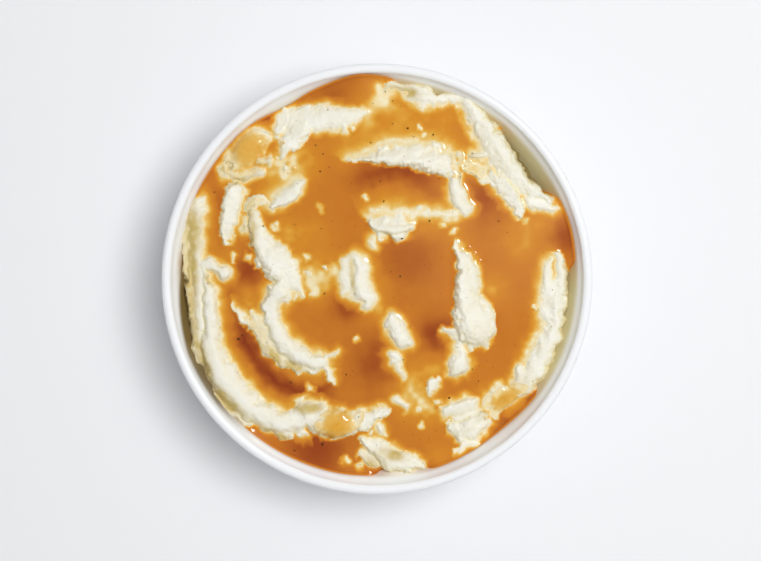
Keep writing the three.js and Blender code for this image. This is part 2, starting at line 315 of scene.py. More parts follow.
# %% Glaze
glaze = Finish("white_glaze")
east, north, height = (glaze.node("SeparateXYZ", None, glaze.place(), out=axis) / MM for axis in range(3))
pooled = glaze.noise(26, detail=1)
white = glaze.mix(pooled, srgb(243, 245, 247), srgb(247, 248, 250))
bare = glaze.fade(height, 0.7, 0.2, kind="LINEAR")
inside = glaze.stored("inside")
# partly a smear of potato near the food, partly painted shade with the mash's warm bounce light, strongest on
# the wall at the right
smear_and_shade = glaze.fade(height, 45.5, 42.5) * glaze.fade(north, -50, -30, kind="LINEAR")
smear_and_shade = smear_and_shade * glaze.fade(east, -20, 30, 0.4, 1.0, kind="LINEAR") * inside
white = glaze.mix(smear_and_shade, white, srgb(212, 205, 166))
# painted shade: the wall in the narrow gap beside the mash on the left is painted dark, where little light
# gets in
gap_top = height - glaze.fade(north, 0, -24, 0, 2.8, kind="LINEAR")      # it rises towards the front
gap_shade = glaze.fade(gap_top, 43.8, 41.8) * glaze.fade(east, -40, -52, kind="LINEAR")
gap_shade = gap_shade * glaze.fade(north, 14, 4, kind="LINEAR") * inside
white = glaze.mix(gap_shade, white, srgb(124, 104, 62))
# a brown line of gravy stain just over the gravy's edge, darkened as well with painted shade where the wall
# meets the gravy
film = glaze.fade(height - glaze.stored("gravy_line"), 2.0, 0.0, 0.0, 0.65)
white = glaze.mix(film * glaze.stored("wet"), white, srgb(188, 140, 84))
print("nodes for the glaze's colour:", len(glaze.tree.nodes))

# %% Shine
# Painted light: the wall at the front left, which faces the window, is given a faint glow of its own, so that
# it looks brighter and whiter.
GLOW_EAST, GLOW_NORTH = -0.42, -0.91     # the direction of the brightest wall
painted_glow = glaze.fade((east * GLOW_EAST + north * GLOW_NORTH) / RIM_R, 0.62, 0.92, kind="LINEAR")
glaze.set(Base_Color=glaze.mix(bare, white, srgb(214, 203, 186)),
          Roughness=0.2 + bare * 0.6 + pooled * 0.06, Specular_IOR_Level=0.4,
          Emission_Color=glaze.mix(painted_glow * inside * (1 - film), BLACK, srgb(84, 94, 101)),
          Emission_Strength=1.0)
glaze.bump(glaze.noise(14, detail=1), 0.05)
dress(bowl, glaze)
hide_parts("bowl")

# %% [markdown]
# ## The spoon's marks
# Mash keeps every stroke of the spoon. A stroke leaves a ridge: smooth on the side that the spoon
# pressed, torn and steep on the other. Sculpting them by brush would be the usual way, but a script
# has no brush, so each ridge is written as the line of its crest, with its half-width along the
# way. Where two ridges meet, the higher one wins, softly.

# %% Ridges
TORN, BROKEN, SLOPED, SMOOTHED = 5.5, 1.5, 0.9, 0.42   # how fast a side falls, mm for each mm
ridges = []


def ridge(name, rise, *line, left=BROKEN, right=BROKEN, drop=(0, 0)):
    """Adds a ridge. rise is how high the crest is for its width, each point of the line is x, y and
    half-width, left and right are the falls of the sides, seen walking along the line, and drop is
    how far under the gravy's level the feet of those sides are."""
    ridges.append({"name": name, "left": left, "right": right, "rise": rise, "drop": drop,
                   "line": np.array(line, float)})


print("falls of a side:", TORN, BROKEN, SLOPED, SMOOTHED)

# %% Ridges at the back left: a plateau, a coated dome and a strip
ridge("plateau", 0.5, (-27, 51.4, 4.6), (-22.4, 52, 4.7), (-16.6, 52.2, 4.5), (-10.8, 52.3, 3.6),
      (-6.2, 53.2, 2.1), (-3.6, 54.6, 1))
ridge("plateau horn", 0.7, (-22.4, 55.4, 1.3), (-22.2, 57, 0.5), left=TORN, right=TORN)
ridge("plateau corner", 0.6, (-29, 54.8, 1.8), (-30.4, 57, 0.5), left=TORN, right=TORN)
ridge("plateau heel", 0.8, (-24.6, 48.8, 4), (-27.2, 46, 3.3), (-29.6, 42.8, 2.1), (-31.6, 39.6, 0.8),
      left=TORN)
ridge("plateau flap", 0.8, (-29.8, 56, 1.2), (-30.2, 52.6, 1.6), (-31.6, 49.4, 1.8), (-32.8, 46.4, 1.2),
      left=TORN)
ridge("plateau fold", 0.3, (-28, 55, 1.6), (-29, 51, 2.2), (-29.8, 47.4, 1.8), (-30.8, 44.4, 1))
ridge("dome", 0.75, (-45.5, 37.5, 3.2), (-43.2, 42, 4.6), (-40.2, 45.2, 4), (-37, 47, 2.2))
ridge("dome flank", 0.5, (-49.6, 33.6, 1.2), (-49.4, 37.5, 1.5), (-47.6, 41.4, 1.2))
ridge("dome foot", 0.8, (-47.6, 34.6, 1.4), (-44.6, 33.2, 1.8), (-41, 34.4, 1.5), (-37.6, 34.8, 1.2))
ridge("dome knob", 1.0, (-38.2, 38, 1.2), (-35.4, 38.4, 1.7))
ridge("strip", 1.1, (-48.4, 11.4, 0.7), (-49.4, 15, 2.2), (-48.4, 19.5, 2.9), (-47, 24.5, 3.1),
      (-46.2, 28.6, 3.2), left=TORN)
print("ridges so far:", len(ridges))

# %% The arm that spirals into the middle
ridge("arm head", 0.5, (-37.4, 26.2, 1.4), (-40.6, 25, 2), (-41.6, 23.2, 1.8), right=TORN)
ridge("arm", 0.95, (-34.3, -12.5, 3), (-34, -8, 3), (-31, -4, 4), (-29.4, 0.4, 3.8), (-31.6, 4.4, 5.8),
      (-34.8, 8.4, 4.6), (-37.4, 11.8, 3.8), (-39.3, 15.8, 2.5), (-40.1, 21, 1.9), left=TORN)
ridge("arm arc", 1.0, (-16.4, -26.4, 1), (-20, -27, 2.8), (-25.6, -24.9, 3.4), (-29.8, -21.5, 3.3),
      (-32.4, -17.2, 3), (-34, -12.5, 2.8), (-34, -8, 3), (-31.4, -4.4, 3.4), left=SLOPED, right=SLOPED)
ridge("arm flank", 0.32, (-21, -28.6, 1.8), (-27.4, -27, 2.4), (-32.4, -23.8, 2.9), (-35.6, -19.6, 2.6),
      (-38, -15.2, 2.2), (-40, -12, 1.4), left=TORN)
ridge("arm lobe", 0.9, (-34, 4.8, 3.2), (-37.4, 5.8, 2.2), (-38.4, 4.6, 1), left=TORN, right=TORN)
ridge("arm lumps", 0.4, (-43, 19.4, 0.9), (-42.9, 16, 1.3))
ridge("arm bay", 0.8, (-27.4, 3, 1.6), (-25.6, -3.2, 1.6), (-24.6, -5.2, 0.8))
ridge("arm tip", 0.7, (-16.5, -25, 0.9), (-13.2, -23.8, 0.8))
ridge("arm heel", 0.7, (-16.8, -28.4, 1.2), (-15.4, -31, 1.5), (-14.4, -33.4, 0.8), right=TORN)
ridge("ledge", 0.75, (-20, -29.6, 1), (-25, -29.4, 1.3), (-29, -28, 1.3), (-32.2, -26, 1.6), (-36, -23, 1.4),
      (-38.2, -18.8, 1.1), (-41.6, -14.6, 0.9), (-44.8, -11.2, 0.9), (-46.8, -8.6, 0.5), left=TORN,
      right=SLOPED)
print("ridges so far:", len(ridges))

# %% The ring against the left wall
ridge("hook", 1.1, (-49.6, 1.4, 2.1), (-52.4, 3.5, 2.3), (-55.6, 4.9, 1.9), (-57.2, 5, 1))
ridge("ring", 1.1, (-56.8, 4.8, 1.4), (-56.4, 0, 1.8), (-55.2, -5, 2.9), (-54.9, -11, 3.3), (-54.8, -17, 3.7),
      (-54.8, -23, 4.6), (-52.2, -29.8, 5.6), (-48.2, -36, 5.9), (-43.4, -41.2, 5.6), (-37.4, -45.2, 5.2),
      (-31, -47.6, 4.6), (-24.6, -47.4, 3.8), left=SLOPED, right=SLOPED, drop=(0, 4))
ridge("shelf", 0.7, (-58.6, 25.4, 2.2), (-59.8, 21, 3.6), (-59.8, 15, 3.2), (-59.4, 8, 2.8), (-58.8, 2, 2.6),
      (-58.6, -4, 2.6), (-58.4, -10, 2.4), (-58, -15.4, 2), left=SLOPED, right=SMOOTHED, drop=(0, 1.5))
ridge("shelf sheet", 0.2, (-62, 20, 0.8), (-62.4, 14, 1.3), (-62, 7, 1.2), (-62.2, 1, 0.8), left=SMOOTHED,
      right=TORN)
ridge("shelf tear", 0.45, (-60.2, 9, 0.8), (-60.6, 2, 1.2), (-60.4, -5, 1.3), (-59.4, -12, 1.1),
      (-58.6, -17, 0.7), left=SMOOTHED, right=TORN)
ridge("ring flank", 0.5, (-58.4, 3, 1.6), (-58.2, -4, 2.2), (-58, -12, 2.4), (-58.2, -20, 2.2),
      (-57.4, -26, 1.6), left=SLOPED, right=SLOPED)
ridge("ring lip", 0.9, (-54.2, -36.4, 0.9), (-51, -40, 1.2), (-46.8, -43.6, 1.3), (-42, -46.8, 1.2),
      left=TORN, right=TORN)
ridge("ring toe", 0.9, (-33.5, -48.5, 1.7), (-30.2, -50.2, 1.9), (-27.6, -48.5, 1.4), left=TORN, right=TORN)
print("ridges so far:", len(ridges))

# %% Lumps at the front
ridge("bench", 0.9, (-30, -47, 2.6), (-26.4, -45.4, 3.2), (-22.6, -43.4, 4.5), (-16, -46.6, 5),
      (-9, -46.6, 3.8), (-3, -45.2, 2.8), (2.2, -43, 2), right=TORN)
ridge("bench step", 0.9, (-26.6, -48, 0.8), (-24.4, -49.6, 1.2), (-22.6, -50.4, 0.7), left=TORN)
ridge("front lump", 1.1, (-3.6, -53, 2), (0.6, -55.6, 3.3), (5, -58.9, 3.5), (10, -59.7, 3.1),
      (14.8, -60.9, 1), right=TORN)
ridge("front knob", 0.6, (-5, -57.2, 1.4), (-2.6, -59.2, 2.2), (0, -60.2, 1.6), right=TORN)
ridge("front crumb", 0.8, (0.4, -47.8, 1.2), (1.6, -49.8, 1.2))
ridge("back lump", 0.9, (22.8, -43, 1.9), (26.6, -41.8, 2.7), (30.2, -41, 2.6), right=SLOPED)
ridge("lump body", 0.6, (26, -45.6, 1.8), (30, -44.4, 2.6), (33.4, -43.8, 1.6))
ridge("right lump", 0.95, (28, -50.6, 3), (31.4, -48.6, 4.2), (34, -46.4, 3.2), (36.6, -46.2, 1), left=TORN)
ridge("lump point", 0.9, (34.5, -46.3, 1.8), (36.8, -46.6, 0.8), left=TORN)
ridge("left lump", 0.85, (25, -49, 2.2), (28.4, -49.6, 3), left=TORN)
ridge("lump toe", 0.6, (25, -56, 0.6), (28.5, -54.4, 1.4), (31.4, -53.4, 1.2), left=TORN)
ridge("band toe", 0.35, (36, -41.6, 1.4), (37.6, -38.4, 2.2), (40.6, -36.4, 2), (44, -38.4, 2), right=SLOPED)
ridge("band foot", 0.3, (38.2, -44, 1.1), (41, -41.6, 1.3), (43.6, -39.6, 1.3), right=TORN)
print("ridges so far:", len(ridges))

# %% The band at the right
ridge("right band", 0.85, (45.8, -37.6, 2), (47.8, -35, 3.4), (50.4, -31, 4.4), (53, -26.4, 4.7),
      (55, -22, 4.4), (56.8, -17.6, 4.2), (57.6, -13.2, 4.3), (57.8, -8, 4.9), (58.9, -3.4, 4.2),
      (59.9, 1.4, 2.2), (60, 5.6, 1.8), (59, 8.2, 1.2), left=SLOPED, right=TORN, drop=(0, 3))
ridge("band lump", 0.8, (46.6, -28.8, 1.2), (46.4, -32, 2.2), (46, -35, 2))
ridge("right prong", 0.8, (55.8, -4, 2.6), (55.4, 1.2, 1.5), (55.4, 4.4, 1.2), (56.6, 6.6, 0.8), left=SLOPED)
print("ridges so far:", len(ridges))

# %% The back
ridge("back lobe", 0.9, (3, 63, 1), (7, 62.6, 1.4), (11, 61.4, 2.4), (14.6, 59.8, 3.7), (17.6, 58.6, 2.6),
      left=TORN, right=SLOPED)
ridge("back ring", 1.1, (20, 58.8, 1.6), (23.6, 59.4, 1.5), (27.6, 58.6, 1.6), (30.8, 55.2, 2.8),
      (33.6, 51.4, 3.9), (36.8, 46.4, 4.5), (40, 41, 4.9), (42.8, 36.2, 4.6), (46.6, 31.8, 3.6),
      (51.4, 28, 2.7), (56.4, 25, 1.8), left=TORN, right=SLOPED, drop=(3, 0))
ridge("back heel", 0.8, (50, 25.2, 2.4), (54, 23.9, 1.9), (57.6, 23, 1.2))
ridge("back tongue", 1.05, (37.4, 33.4, 1.6), (40.4, 30.8, 2.6), (43.4, 27.2, 2.7), (45.8, 23.6, 2),
      (46.6, 21, 0.9), left=TORN)
ridge("saddle", 0.3, (27.6, 36.6, 1), (31.4, 35, 2), (35.4, 33.4, 2.8), (38.6, 32, 2.4), left=SMOOTHED,
      right=TORN)
ridge("back tooth", 0.7, (30.6, 39.8, 0.9), (33, 40.4, 1.8), (36, 40.6, 1.6), left=SLOPED)
print("ridges so far:", len(ridges))

# %% The middle: a brow, a heart, a post and an island
ridge("brow", 0.95, (-9, 38.2, 0.4), (-4, 39.4, 1.5), (1, 40.2, 2.9), (6, 40.7, 3.9), (11, 40.5, 4.2),
      (16, 39.5, 4.6), (20.5, 37.8, 4.3), (23, 36.8, 3), left=SMOOTHED, right=TORN)
ridge("brow end", 0.8, (24.2, 38.2, 1.7), (24.8, 34.6, 2.3), (25.4, 31.4, 1.9))
ridge("brow leg", 0.8, (25.4, 31.6, 1.9), (25.9, 27.8, 2.8), (26.8, 24.6, 2.7), (29.4, 22.6, 1.7))
ridge("brow knob", 0.9, (18.2, 43.4, 1.1), (20.2, 43, 1))
ridge("brow spur", 0.8, (26.6, 40.4, 0.8), (26, 37, 1.4))
ridge("brow shelf", 0.25, (-0.8, 22.2, 0.8), (4, 22, 1), (9, 21.4, 1.4), (14, 21.8, 1.1), (19, 21.2, 1.1),
      (23, 20.8, 1.5), (26, 21.6, 1), left=SLOPED, right=SLOPED)
ridge("heart", 0.95, (-1.8, 18.3, 1.6), (2, 17.8, 3.4), (6.4, 17.6, 3.8), (10.2, 17, 2), left=SMOOTHED,
      right=TORN)
ridge("heart side", 0.9, (6.6, 15.4, 2.8), (7.8, 14, 2), right=TORN)
ridge("heart prong", 0.8, (0.4, 16, 1.8), (1.2, 13.4, 1), right=TORN)
ridge("heart drop", 0.5, (-1.4, 13.2, 1), (-1.2, 11, 1))
ridge("post", 0.8, (-2.8, -7.8, 2), (-3.4, -5.4, 2.8), (-5.4, -2.4, 2.9), (-5.2, 1.4, 2.5), (-4.9, 4.4, 2.2),
      (-6.4, 6.6, 1.5), right=SLOPED)
ridge("post foot", 0.45, (-9.8, 5.2, 1.6), (-10.6, 1.8, 1.7), (-10, -1, 2.2), (-10.4, -3.6, 1.6))
ridge("post web", 0.3, (-7.6, 5.4, 2.4), (-7.6, 1.6, 3.8), (-7.2, -2, 4), (-5.6, -4.8, 3))
ridge("post link", 0.7, (-10.4, 6, 1), (-7.4, 7, 1.4))
ridge("tooth", 0.85, (4.6, -12.8, 2), (5.6, -14.8, 3), (6.8, -17.4, 2.9), (8.4, -19.8, 3), (9.8, -20.4, 1.8))
ridge("drip", 0.6, (6.4, -27, 1.2), (7.4, -29.4, 0.8), (8.6, -32, 0.4))
ridge("drip head", 0.8, (4.6, -24.2, 1.1), (6.2, -25.4, 1.6), (5, -27, 0.9))
ridge("drip foot", 0.6, (6.4, -39, 1.1), (9.4, -41.2, 1.3))
ridge("right crumb", 0.8, (20.2, -32.2, 1), (17.8, -34.4, 1.7), (17.6, -37, 0.9), right=TORN)
ridge("island", 1.1, (32.6, -18, 3.4), (32, -15.2, 6.8), (30.4, -11, 6), (29.4, -6, 4.6), (29.3, -1, 4),
      (29, 4, 3.4), (27, 9, 1.7), (25.4, 11.4, 0.6), left=TORN)
ridge("island foot", 0.9, (22.8, -16.8, 1.4), (27.5, -17.8, 2.4), (33.5, -19.4, 2.2), left=TORN)
ridge("island spikes", 0.8, (29.6, -20, 1.6), (30.5, -22.8, 0.4), left=TORN)
ridge("island spike", 0.8, (34.6, -20.2, 1.5), (35.2, -22, 0.4), left=TORN)
ridge("island neck", 0.45, (27.2, -19.6, 2.1), (26.8, -23, 1.9))
ridge("pebble", 0.9, (27.4, -25.4, 2.6), (26.8, -27.4, 3.7), (25.6, -29, 3), (24.4, -30, 1.6))
ridge("cross fold", 0.8, (-33.8, 23.8, 1.8), (-30, 26.4, 2.6), (-26.4, 29.4, 2.4), (-24.4, 31.8, 1),
      left=SMOOTHED)
ridge("splinter", 0.7, (-10.8, 49.6, 0.9), (-10.4, 47.6, 0.7))
widest = max(ridges, key=lambda one: one["line"][:, 2].max())
print("ridges:", len(ridges), "and the widest is the", widest["name"])

# %% [markdown]
# Between the ridges the floor of the mash lies under the gravy. The deeper it is, the browner the
# gravy looks, so each hollow is given here as a place, a radius and an extra depth. A depth below
# nought is a shoal, where the mash almost reaches the surface and the gravy looks yellow. Shoals
# have an uneven edge, because they are lumps of mash, and hollows are smooth.

# %% Hollows and shoals, mm: x, y, radius, depth
hollows = [
    (-44.1, -20.5, 3, 1), (-37.9, -27.4, 3, 1), (-47.6, -12, 5, 3), (-44.6, -18, 6.5, 4.4),
    (-40.6, -25, 7.5, 4.8), (-34.4, -30.4, 7, 4.6), (-26, -33.4, 6.5, 3.6), (-19, -35.4, 5, 2),
    (8, 33, 9, 3.6), (-4, 34, 6, 1.2), (35, 27, 8, 1.5), (20, -18, 6, 2.6), (-10, -9, 5, 1.8),
    (1, -27, 9, 1.8), (10, 6, 10, 1.1), (-42, 3, 5, 2.2), (-48, -8, 4, 1.6), (-14, 61, 8, 0.9),
    (-54, 18, 3, 1.2), (-53, 26, 3, 1), (-36, 52, 5, 2.2), (62, 14, 6, 1.8), (-20, -55, 10, 2.4),
    (47, -44, 7, 2.6), (45.4, -42.4, 3, 2)]
shoals = [
    (8, 50, 13, -1.7), (-26, 38, 8, -2), (-8, 44, 8, -1.4), (-24, 14, 9, -1.3), (38, -3, 5, -2),
    (47, 12, 7, -1.5), (12, -32, 8, -1.7), (13, -38, 6, -1.5), (16, -44, 6, -1.7), (19.6, -28, 4, -1.2),
    (-0.4, -9.4, 4, -2), (1, -2, 4, -1.2), (-14, 2, 5, -2.9), (-22, 1, 6, -3.2), (-20, -4.4, 4, -1.8),
    (-41.6, -7.4, 4.6, -2.4), (52, 20, 6, -1.4), (22, 52, 7, -1.3), (-32, 36, 6, -2.9), (40, -38, 5, -2.6),
    (36, -40, 4, -2.6), (31, 36, 3.6, -3.1), (2, 60.5, 5, -3.3), (-49, 8, 4, -1.3), (-31, 16, 4, -2.2),
    (20, 17, 4, -1), (26, 14, 4, -1.8), (9, -41, 5, -1.3), (18, -41, 4, -1.6), (0, -49.5, 3, -1.6),
    (14, 16, 3, -1.2), (20, -57.5, 4, -1.4), (-4, 54, 5, -1.6)]
print("hollows:", len(hollows), "shoals:", len(shoals))

# %% [markdown]
# The gravy isn't level either. It stands higher where it was poured, and it has drained from some
# stretches of the wall. It lies in films on a few lumps, has soaked into the mash beside the pools,
# and stands in small beads on the shore, which catch the light. The stains in the mash also carry
# painted shade on shaded slopes and beside the wall. Each is a place and a size.

# %% How the gravy lies
# where it stands higher than elsewhere: x, y, radius, rise
swells = [(-6, 69, 11, 3), (63, 16, 9, 0.8), (40, -50, 16, -1.4), (0, -66, 9, -0.7), (-31, 58, 8, -2.4)]
# stretches of wall with no gravy: from and to, in degrees, and the radius where they begin
dry_walls = [
    (26, 50, 59.6), (50, 84, 64.6), (158, 176, 64.4), (174, 226, 62.2), (271, 284, 62.2), (-34, 3, 62)]
# films on top of the mash: x, y, half-length, half-width, turn in degrees, thickness
films = [
    (-41.4, 42.4, 8.4, 7.2, 38, 1.1), (-12.6, -48.2, 7.2, 5.2, 22, 1.3), (-8.5, -45.4, 5, 3, 25, 0.3),
    (42, -39, 6, 3.2, 42, 1.2), (26.4, 37, 1.8, 3, 0, 0.3), (31, 35.6, 3.6, 3.4, 0, 0.4),
    (36, -41, 3, 2.4, 0, 0.35)]
# beads: x, y, radius
beads = [
    (26.6, 38.6, 1), (27.2, 35.6, 0.9), (29.6, 9.6, 1), (31.6, 7.8, 1), (33.2, 5.4, 0.9), (36.8, -10.6, 0.9),
    (19.4, -41.6, 1), (21, -42.6, 1), (24.4, -46.8, 1), (51.8, -9.6, 0.9), (-29, 37.4, 1.1), (-27.4, 36, 0.9),
    (-33, 17.4, 1), (-22.6, 1.8, 1), (-16.4, 4.2, 1), (1.4, 64.4, 1), (3.4, 64.2, 0.8), (48.2, 19, 1),
    (58, 23.8, 0.9), (9, -56.6, 0.8), (10.6, -58, 0.8), (13, -59.4, 0.7), (-48, 12.4, 0.8), (-51.4, -16, 0.7),
    (-46.4, -29.8, 0.8), (-42, -35.8, 0.7), (27.8, -25.4, 0.8)]
# stains in the mash, partly gravy soaked in and partly painted shade on shaded slopes and beside the wall: x,
# y, half-length, half-width, turn in degrees
stains_and_shade = [
    (-3, -60.5, 6, 2.6, 0), (-60.4, 15, 3.4, 9, 0), (-60.8, 4, 2.8, 21, 0), (-60.2, -14, 2, 8, 8),
    (-34, -24.4, 8, 1.8, -45), (-38.6, -18.4, 5, 2.6, -62), (-28, -28, 5, 1.6, -20), (-49, 38, 4.5, 3, 70),
    (-44.5, 33, 5, 2.4, 10), (-43, 40, 8, 7, 20), (-42, 16, 3, 9, 0), (-57, -26, 9, 2.2, -70),
    (-53.8, 0, 2.6, 2, -30), (-41, 24.6, 3, 2, 30), (-48.6, -40.2, 9, 2.2, -45), (-34, -50.4, 7, 1.6, -20),
    (-14, -47.5, 7, 4, 8), (-22, -42, 5, 2, 0), (4, -57, 5, 2, -10), (41, -39, 8, 4, 42), (24, 52, 5, 3, -30),
    (30, 36, 5, 5, 0), (8, 61, 6, 2, -10), (-8, 1, 1, 6, 5)]
# crumbs of potato that lie in it: x, y, radius, and how far the top is over the gravy
crumbs = [
    (-10.7, 48.5, 1, 0.4), (-7.6, 49.2, 0.8, 0.2), (-30, 36.2, 1.1, 0.5), (-35.5, 38.5, 1.6, 0.9),
    (1, -48.5, 1.6, 0.6), (-2, -49.6, 1.3, 0.4), (-9.6, -59.6, 1.7, 0), (-5.6, -61.2, 1.4, 0.2),
    (-33, 17, 1.5, 0.1), (-26, -5.4, 1, 0.4), (-23.8, -6.2, 0.9, 0.3), (-47, 7, 1.2, 0), (-42, 7, 1.4, 0.1),
    (-3.6, 26.5, 0.8, 0.3), (14.4, 49.2, 0.9, 0), (15.4, 47.2, 0.8, -0.1), (32, 40.6, 1.3, 0.4),
    (30, 38, 1.1, 0.2), (-22.4, 1.6, 1.3, 0.5), (-20.6, -4.6, 1.4, 0), (-16.4, 4, 1, 0.4),
    (-23, 7, 1.8, -0.1), (20.8, 17.4, 1.5, 0), (24.8, 15.6, 1.5, 0), (48.4, 18.8, 1.4, 0.1),
    (46.4, 20.4, 1, 0.2), (3, -50.6, 1, 0.2), (13.4, -42.4, 1.2, 0), (14.6, -47.6, 1.2, 0),
    (19.4, -40.2, 1.2, 0.3), (21.4, -42.2, 1.2, 0.3), (23.4, -46.8, 1, 0.4), (38, -36.6, 1.6, 0.5),
    (38.2, -41, 1.2, 0.3), (39, -45, 1, 0.2), (13.4, 22.6, 0.9, 0.3), (17, 22.2, 0.8, 0.2),
    (-6.4, -19.4, 0.9, 0), (-21.8, -35.6, 1.1, 0), (-18.4, 23, 1.4, -0.6), (51.4, -9.4, 1, 0.3),
    (-46.8, 5.4, 0.9, 0)]
print("films:", len(films), "beads:", len(beads), "stains:", len(stains_and_shade), "crumbs:", len(crumbs))

# %% [markdown]
# ## Height of the food
# These functions turn the marks into one height for each place, for the mash and for the gravy.
# Torn edges needn't be drawn: each place is pushed a little sideways by smooth noise of a few sizes
# before it is measured.

# %% Noise on a lattice
LATTICE = 32     # the lattice repeats after this many blobs
BLEND = 0.7      # how softly one shape runs into the next, mm


def lattice_noise(x, y, z, size, seed):
    """Smooth random numbers from -1 to 1, with blobs about size mm across."""
    table = np.random.default_rng(seed).uniform(-1, 1, (LATTICE, LATTICE, LATTICE))
    turn = 0.6 + 1.3 * seed          # no two lattices lie the same way, so their rows don't show
    u = x * math.cos(turn) - y * math.sin(turn)
    v = x * math.sin(turn) + y * math.cos(turn)
    places = [axis / size + 1000 for axis in (u, v, z)]
    cell = [np.floor(place).astype(int) for place in places]
    part = [place - low for place, low in zip(places, cell)]
    part = [p * p * (3 - 2 * p) for p in part]
    total = 0.0
    for corner in np.ndindex(2, 2, 2):
        weight = 1.0
        for far_side, p in zip(corner, part):
            weight = weight * (p if far_side else 1 - p)
        i, j, k = [(low + step) % LATTICE for low, step in zip(cell, corner)]
        total = total + weight * table[i, j, k]
    return total


def flat_noise(x, y, size, seed):
    return lattice_noise(x, y, 0 * x, size, seed)


def ease(value, low, high):
    t = np.clip((value - low) / (high - low), 0, 1)
    return t * t * (3 - 2 * t)


def soft_max(a, b, softness=BLEND):
    h = np.clip(0.5 + 0.5 * (a - b) / softness, 0, 1)
    return b * (1 - h) + a * h + softness * h * (1 - h)


print("numbers in a lattice:", LATTICE ** 3)

# %% Gravy level and dry walls
GRAVY_WALL = 42.9     # gravy level at the wall
GRAVY_DOME = 5.6      # higher at the middle by this much
GRAVY_TILT = 0.4      # higher at the back of the wall, lower in front


def gravy_level(x, y):
    out = np.hypot(x, y) / WALL_R
    level = GRAVY_WALL + GRAVY_DOME * (1 - out ** 2) + GRAVY_TILT * y / WALL_R
    for sx, sy, radius, rise in swells:
        level = level + rise * np.exp(-((x - sx) ** 2 + (y - sy) ** 2) / radius ** 2)
    return level


def dryness(x, y, sooner=0.0):
    """1 beside a dry stretch of wall, 0 where gravy reaches or in the middle."""
    angle, r = np.degrees(np.arctan2(y, x)), np.hypot(x, y)
    dry = np.zeros_like(r)
    for start, end, radius in dry_walls:
        off = np.abs((angle - (start + end) / 2 + 180) % 360 - 180)
        half = (end - start) / 2
        inward = ease(r + sooner, radius - 1.2, radius + 1.6)
        dry = np.maximum(dry, (1 - ease(off, half - 9, half + 5)) * inward)
    return dry


print(f"gravy level: {gravy_level(0, 0):.1f} mm in the middle, {gravy_level(WALL_R, 0):.1f} mm at the right")

# %% [markdown]
# One ridge is measured from its crest line: each place looks for the nearest piece of the line, and
# how far past the ridge's half-width it is decides its height. Inside, the crest is a rounded hump,
# leaning towards the steeper side. Outside, the side falls away at its own rate. Torn sides also
# get fine strokes along the way that the spoon went.

# %% Height of one ridge
THINNEST = 0.3      # no ridge is narrower than this
DRY_FALL = 3.0      # how fast a side falls beside a dry wall
STROKE_W = 1.9      # width of the strokes that the spoon leaves, and how deep they are
STROKE_DEPTH = 0.24


def trace(line, step=1.2):
    """A smooth line through the ridge's points, as short straight steps."""
    ends = np.vstack([2 * line[0] - line[1], line, 2 * line[-1] - line[-2]])
    out = []
    for a, b, c, d in zip(ends, ends[1:], ends[2:], ends[3:]):
        count = max(2, int(math.hypot(*(c - b)[:2]) / step) + 1)
        t = (np.arange(count) / count)[:, None]
        out.append(0.5 * (2 * b + (c - a) * t + (2 * a - 5 * b + 4 * c - d) * t ** 2
                          + (3 * b - a - 3 * c + d) * t ** 3))
    return np.vstack(out + [line[-1:]])


def nearest_on_line(line, x, y):
    """How far past the half-width each place is, the half-width, the side and the way walked."""
    best = np.full(x.shape, 1e9)
    width, side, along = np.ones(x.shape), np.zeros(x.shape), np.zeros(x.shape)
    steps, walked = trace(line), 0.0
    for (ax, ay, aw), (bx, by, bw) in zip(steps, steps[1:]):
        dx, dy = bx - ax, by - ay
        length = math.hypot(dx, dy) + 1e-9
        t = np.clip(((x - ax) * dx + (y - ay) * dy) / length ** 2, 0, 1)
        px, py, w = x - ax - t * dx, y - ay - t * dy, aw + (bw - aw) * t
        d = np.hypot(px, py)
        nearer = d - w < best
        best = np.where(nearer, d - w, best)
        width = np.where(nearer, w, width)
        side = np.where(nearer, (dx * py - dy * px) / length / np.maximum(d, 1e-6), side)
        along = np.where(nearer, walked + t * length, along)
        walked += length
    return best, np.maximum(width, THINNEST), side, along


def ridge_height(one, x, y, dry, torn):
    """Height of one ridge over the gravy, and how rough it is, from 0 to 1."""
    best, width, side, along = nearest_on_line(one["line"], x, y)
    left = 0.5 + 0.5 * np.clip(1.5 * side, -1, 1)
    fall = one["left"] * left + one["right"] * (1 - left)
    fall = fall + (DRY_FALL - fall) * dry
    steepest = math.log(TORN / SMOOTHED)
    tear = np.clip(np.log(fall / SMOOTHED) / steepest, 0, 1)
    inside = np.clip((best + width) / width, 0, 1)
    tilt = math.log(one["right"] / one["left"]) / steepest
    lean = abs(tilt)
    crest = one["rise"] * width ** 0.7 * (1 - tilt * side * inside) / (1 + 0.3 * lean)
    low = one["drop"][0] * left + one["drop"][1] * (1 - left)
    shore = best * fall * (1 - 1.3 * tear * (1 - tear) * np.exp(-np.maximum(best, 0) / 1.1))
    hump = crest * (1 - inside ** (2.2 + 1.8 * lean)) - low * inside ** 1.7
    height = np.where(best > 0, -shore - low, hump)
    if torn:
        across = (best + width) * np.clip(3 * side, -1, 1)
        strokes = lattice_noise(across, along / 9, 0 * x, STROKE_W, int(abs(one["line"][0, 0]) * 10))
        height = height + torn * STROKE_DEPTH * strokes * ease(-best, -1, 1)
    return height, 0.15 + 0.85 * tear * (0.15 + 0.85 * inside ** 2)


print("steps along the first ridge:", len(trace(ridges[0]["line"])))

# %% [markdown]
# The heap's height starts at the floor of the furrows, takes away the hollows and adds the ridges
# and crumbs one after another. It is measured from the gravy's level, so that nought is the shore.

# %% Height of the mash over the gravy level
TROUGH = 3.6        # ordinary depth of a furrow
DEEPEST = 9.0       # a ridge's side is followed down to this depth
SHALLOWEST = 0.22   # no shoal is nearer to the surface than this
CREVICE = 7.5       # how far the mash falls away from a dry stretch of wall
WANDER = 0.45       # how far every line wanders, mm
RAGS = ((3.4, 0.5), (1.6, 0.45), (0.8, 0.28))      # what makes edges ragged: size and push, mm


